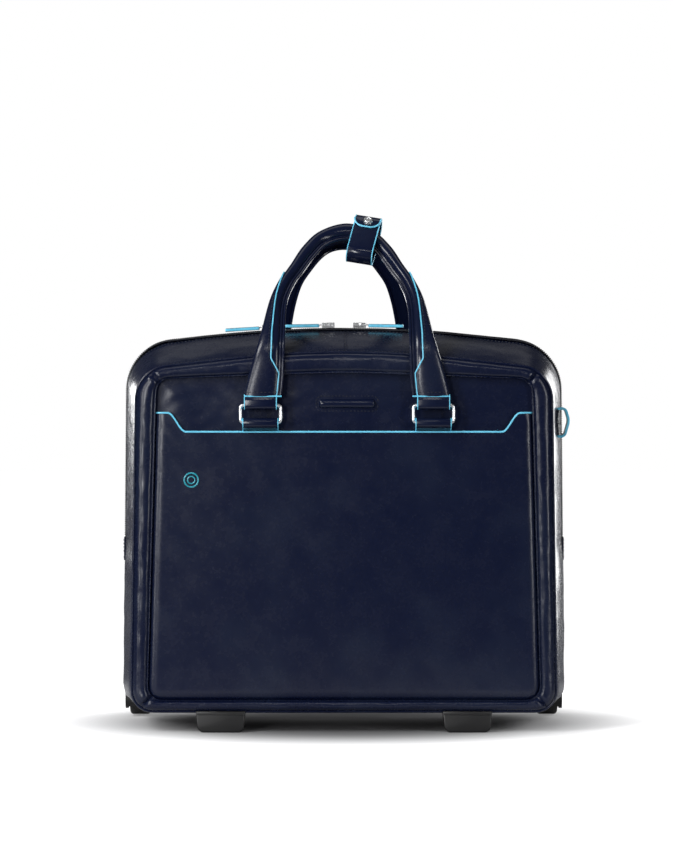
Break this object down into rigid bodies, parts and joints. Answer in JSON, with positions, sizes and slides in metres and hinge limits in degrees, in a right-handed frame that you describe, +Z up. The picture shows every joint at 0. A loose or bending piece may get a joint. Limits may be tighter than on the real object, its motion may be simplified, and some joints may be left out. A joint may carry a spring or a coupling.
{
  "type": "rolling laptop case",
  "caption": "Upright leather laptop case with zipped compartments, carry handles, wheels and a telescopic pull handle.",
  "frame": {"origin": "on the floor, below the centre of the case", "axes": "+Z up, the pocket side faces -Y, +X to the right of someone who looks at that side"},
  "size_m": [0.4554, 0.2151, 0.518],
  "materials": {
    "navy_leather": "polished",
    "blue_edge": "painted edge",
    "teal_badge": "satin",
    "lining": "woven",
    "board": "plain",
    "zip_tape": "woven",
    "chrome_fittings": "polished",
    "tube_alloy": "satin",
    "black_plastic": "matt",
    "grip_plastic": "satin",
    "tyre": "matt",
    "steel": "brushed"
  },
  "bodies": {
    "case": {"back_panel": "navy_leather", "chassis_tray": "black_plastic", "rear_gusset": "navy_leather", "lower_gusset": "navy_leather", "file_divider": "lining", "laptop_sleeve": "lining", "sleeve_strap": "lining", "rear_ring_tabs": "navy_leather", "rear_rings": "chrome_fittings", "zip_rear_half": "zip_tape", "rear_zip": "zip_tape", "zip_end_tabs": "navy_leather", "fixed_tubes": "tube_alloy", "tube_bracket": "black_plastic", "tube_bezel": "black_plastic", "rear_cover": "navy_leather", "wheel_housing_left": "black_plastic", "wheel_housing_right": "black_plastic", "wheel_axles": "steel", "front_feet": "black_plastic", "foot_screws": "steel"},
    "front_section": {"front_gusset": "navy_leather", "front_frame": "navy_leather", "edge_piping": "navy_leather", "front_panel": "navy_leather", "front_board": "board", "front_pocket": "navy_leather", "pocket_binding": "blue_edge", "embossed_bar": "navy_leather", "pocket_badge": "teal_badge", "front_ring_tabs": "navy_leather", "zip_front_half": "zip_tape", "side_loop": "navy_leather"},
    "front_ring_pair": {"front_rings": "chrome_fittings"},
    "front_carry_handle": {"front_handle": "navy_leather", "front_handle_eyes": "navy_leather", "front_handle_flaps": "navy_leather", "keeper_strap": "navy_leather", "keeper_snap": "chrome_fittings"},
    "rear_carry_handle": {"rear_handle": "navy_leather", "rear_handle_eyes": "navy_leather"},
    "left_slider": {"zip_slider_left": "chrome_fittings"},
    "left_pull": {"zip_pull_left": "navy_leather"},
    "right_slider": {"zip_slider_right": "chrome_fittings"},
    "right_pull": {"zip_pull_right": "navy_leather"},
    "rear_slider": {"rear_zip_slider": "chrome_fittings"},
    "rear_pull": {"rear_zip_pull": "navy_leather"},
    "trolley_middle": {"middle_tubes": "tube_alloy", "middle_collars": "black_plastic"},
    "trolley_top": {"inner_tubes": "tube_alloy", "pull_grip": "grip_plastic"},
    "release_set": {"release_button": "grip_plastic", "release_rods": "tube_alloy"},
    "left_wheel": {"tyre_left": "tyre", "hub_left": "grip_plastic"},
    "right_wheel": {"tyre_right": "tyre", "hub_right": "grip_plastic"}
  },
  "joints": [
    {"name": "front_opening", "type": "hinge", "parent": "case", "child": "front_section", "pos_m": [0, -0.0998, 0.022], "axis": [1, 0, 0], "range_deg": [0, 10]},
    {"name": "front_ring_swing", "type": "hinge", "parent": "front_section", "child": "front_ring_pair", "pos_m": [0.003, -0.104, 0.312], "axis": [1, 0, 0], "range_deg": [0, 80]},
    {"name": "front_handle_swing", "type": "hinge", "parent": "front_ring_pair", "child": "front_carry_handle", "pos_m": [0.003, -0.104, 0.329], "axis": [1, 0, 0], "range_deg": [0, 75]},
    {"name": "rear_handle_swing", "type": "hinge", "parent": "case", "child": "rear_carry_handle", "pos_m": [0, 0.076, 0.392], "axis": [1, 0, 0], "range_deg": [-60, 0]},
    {"name": "left_slider_travel", "type": "hinge", "parent": "case", "child": "left_slider", "pos_m": [0, -0.015, -0.89608], "axis": [0, -1, 0], "range_deg": [0, 5.2]},
    {"name": "left_pull_lift", "type": "hinge", "parent": "left_slider", "child": "left_pull", "pos_m": [-0.01605, -0.015, 0.41012], "axis": [0, 1, 0], "range_deg": [0, 150]},
    {"name": "right_slider_travel", "type": "hinge", "parent": "case", "child": "right_slider", "pos_m": [0, -0.015, -0.89608], "axis": [0, 1, 0], "range_deg": [0, 5.2]},
    {"name": "right_pull_lift", "type": "hinge", "parent": "right_slider", "child": "right_pull", "pos_m": [0.01605, -0.015, 0.41012], "axis": [0, -1, 0], "range_deg": [0, 150]},
    {"name": "rear_slider_travel", "type": "hinge", "parent": "case", "child": "rear_slider", "pos_m": [0, 0.036, -0.89608], "axis": [0, -1, 0], "range_deg": [-6.8, 2.4]},
    {"name": "rear_pull_lift", "type": "hinge", "parent": "rear_slider", "child": "rear_pull", "pos_m": [-0.07826, 0.036, 0.40788], "axis": [0, 1, 0], "range_deg": [0, 150]},
    {"name": "trolley_lower_stage", "type": "slide", "parent": "case", "child": "trolley_middle", "axis": [0, 0, 1], "range_m": [0, 0.265]},
    {"name": "trolley_upper_stage", "type": "slide", "parent": "trolley_middle", "child": "trolley_top", "axis": [0, 0, 1], "range_m": [0, 0.265]},
    {"name": "release_press", "type": "slide", "parent": "trolley_top", "child": "release_set", "axis": [0, 0, -1], "range_m": [0, 0.004], "stiffness_N_per_m": 400, "springref_m": -0.004},
    {"name": "left_wheel_spin", "type": "hinge", "parent": "case", "child": "left_wheel", "pos_m": [-0.2135, 0.075, 0.03], "axis": [1, 0, 0], "continuous": true},
    {"name": "right_wheel_spin", "type": "hinge", "parent": "case", "child": "right_wheel", "pos_m": [0.2135, 0.075, 0.03], "axis": [1, 0, 0], "continuous": true}
  ]
}
